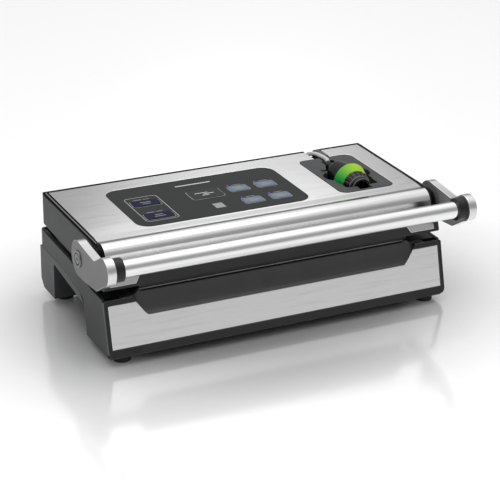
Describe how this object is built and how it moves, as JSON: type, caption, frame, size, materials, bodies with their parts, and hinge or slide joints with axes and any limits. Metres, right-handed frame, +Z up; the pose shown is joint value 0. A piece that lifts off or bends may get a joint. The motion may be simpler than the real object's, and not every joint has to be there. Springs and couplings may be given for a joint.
{
  "type": "vacuum sealer",
  "caption": "Countertop vacuum bag sealer with a bridge-shaped base, hinged steel-skinned lid, swing-up tube handle, film-key panel and a docked vacuum hose connector.",
  "frame": {"origin": "on the surface the machine stands on, under the centre of the box around it, measured without the hose, its connector and its port", "axes": "+X along the machine to its right as seen by its user, +Y to its rear, +Z up; the handle is at -Y"},
  "size_m": [0.418, 0.3268, 0.1335],
  "materials": {
    "housing_plastic": "satin dark grey moulded plastic",
    "underside_plastic": "satin dark grey moulded plastic",
    "bezel_plastic": "glossy near-black plastic",
    "deck_plastic": "matt black plastic",
    "brushed_steel": "fine brushed stainless steel",
    "tube_steel": "polished stainless tube",
    "arm_metal": "satin cast metal",
    "bright_metal": "bright metal",
    "hardware_steel": "zinc-plated steel",
    "collar_plastic": "satin black plastic",
    "gasket_foam": "closed-cell foam rubber",
    "foot_rubber": "matt rubber",
    "press_silicone": "silicone rubber",
    "heating_metal": "flat resistance ribbon",
    "release_cloth": "coated glass cloth",
    "circuit_board": "green solder mask",
    "transformer_core": "varnished laminations",
    "valve_blue": "blue moulded coil",
    "hose_white": "milky white flexible hose",
    "overlay_grey": "dark grey printed film",
    "dock_grey": "dark grey moulded plastic",
    "key_grey": "grey-blue film key",
    "key_dark": "dark grey film key",
    "key_blue": "dark blue display key",
    "dome_metal": "snap dome",
    "lens_blue": "blue indicator lens",
    "connector_black": "semi-gloss black plastic",
    "ring_green": "bright green plastic"
  },
  "bodies": {
    "base": {"base_upper_shell": "housing_plastic", "base_lower_shell": "underside_plastic", "front_bezel": "bezel_plastic", "front_panel": "brushed_steel", "sealing_deck": "deck_plastic", "drip_tray": "deck_plastic", "lower_gasket": "gasket_foam", "seal_bar_holder": "deck_plastic", "heating_wire": "heating_metal", "release_strip": "release_cloth", "pump_motor": "hardware_steel", "pump_head": "deck_plastic", "pump_saddle": "deck_plastic", "transformer": "transformer_core", "power_board": "circuit_board", "solenoid_valve": "valve_blue", "vacuum_pipe": "hose_white", "hose_port": "deck_plastic", "power_inlet": "deck_plastic", "lid_switches": "deck_plastic", "latch_catches": "hardware_steel", "hinge_pins": "hardware_steel", "base_screws": "hardware_steel", "rubber_feet": "foot_rubber", "hose_run": "hose_white", "hose_coil": "hose_white"},
    "crank": {"pump_crank": "hardware_steel"},
    "lid": {"lid_housing": "housing_plastic", "lid_skin": "brushed_steel", "lid_inner_plate": "deck_plastic", "upper_gasket": "gasket_foam", "press_strip": "press_silicone", "control_overlay": "overlay_grey", "control_board": "circuit_board", "dome_switches": "dome_metal", "indicator_lenses": "lens_blue", "dock_tray": "dock_grey", "hose_guide": "bezel_plastic", "lid_screws": "hardware_steel", "axle_bushes": "deck_plastic"},
    "handle": {"handle_tube": "tube_steel", "handle_arm_left": "arm_metal", "handle_arm_right": "arm_metal", "handle_collar_left": "collar_plastic", "handle_collar_right": "collar_plastic", "pivot_cap_left": "bright_metal", "pivot_cap_right": "bright_metal", "handle_axle": "hardware_steel", "latch_fingers": "hardware_steel"},
    "connector": {"connector_body": "connector_black", "connector_ring": "ring_green", "connector_nozzle": "connector_black", "hose_swivel": "connector_black"},
    "key_start_stop": {"key_start_stop": "key_dark"},
    "key_mode_upper": {"key_mode_upper": "key_blue"},
    "key_mode_lower": {"key_mode_lower": "key_blue"},
    "key_rear_left": {"key_rear_left": "key_grey"},
    "key_rear_right": {"key_rear_right": "key_grey"},
    "key_front_left": {"key_front_left": "key_grey"},
    "key_front_right": {"key_front_right": "key_grey"}
  },
  "joints": [
    {"name": "lid_hinge", "type": "hinge", "parent": "base", "child": "lid", "pos_m": [0, 0.1105, 0.0798], "axis": [-1, 0, 0], "range_deg": [0, 80], "deforming": ["hose_run"]},
    {"name": "handle_pivot", "type": "hinge", "parent": "lid", "child": "handle", "pos_m": [0, -0.035, 0.102], "axis": [-1, 0, 0], "range_deg": [0, 75]},
    {"name": "connector_tilt", "type": "hinge", "parent": "lid", "child": "connector", "pos_m": [0.1295, 0.066, 0.1135], "axis": [-1, 0, 0], "range_deg": [0, 60]},
    {"name": "pump_crank_spin", "type": "hinge", "parent": "base", "child": "crank", "pos_m": [0.062, 0.095, 0.04], "axis": [1, 0, 0], "continuous": true},
    {"name": "key_start_stop_press", "type": "slide", "parent": "lid", "child": "key_start_stop", "axis": [0, 0, -1], "range_m": [0, 0.0005], "stiffness_N_per_m": 2000},
    {"name": "key_mode_upper_press", "type": "slide", "parent": "lid", "child": "key_mode_upper", "axis": [0, 0, -1], "range_m": [0, 0.0005], "stiffness_N_per_m": 2000},
    {"name": "key_mode_lower_press", "type": "slide", "parent": "lid", "child": "key_mode_lower", "axis": [0, 0, -1], "range_m": [0, 0.0005], "stiffness_N_per_m": 2000},
    {"name": "key_rear_left_press", "type": "slide", "parent": "lid", "child": "key_rear_left", "axis": [0, 0, -1], "range_m": [0, 0.0005], "stiffness_N_per_m": 2000},
    {"name": "key_rear_right_press", "type": "slide", "parent": "lid", "child": "key_rear_right", "axis": [0, 0, -1], "range_m": [0, 0.0005], "stiffness_N_per_m": 2000},
    {"name": "key_front_left_press", "type": "slide", "parent": "lid", "child": "key_front_left", "axis": [0, 0, -1], "range_m": [0, 0.0005], "stiffness_N_per_m": 2000},
    {"name": "key_front_right_press", "type": "slide", "parent": "lid", "child": "key_front_right", "axis": [0, 0, -1], "range_m": [0, 0.0005], "stiffness_N_per_m": 2000}
  ]
}
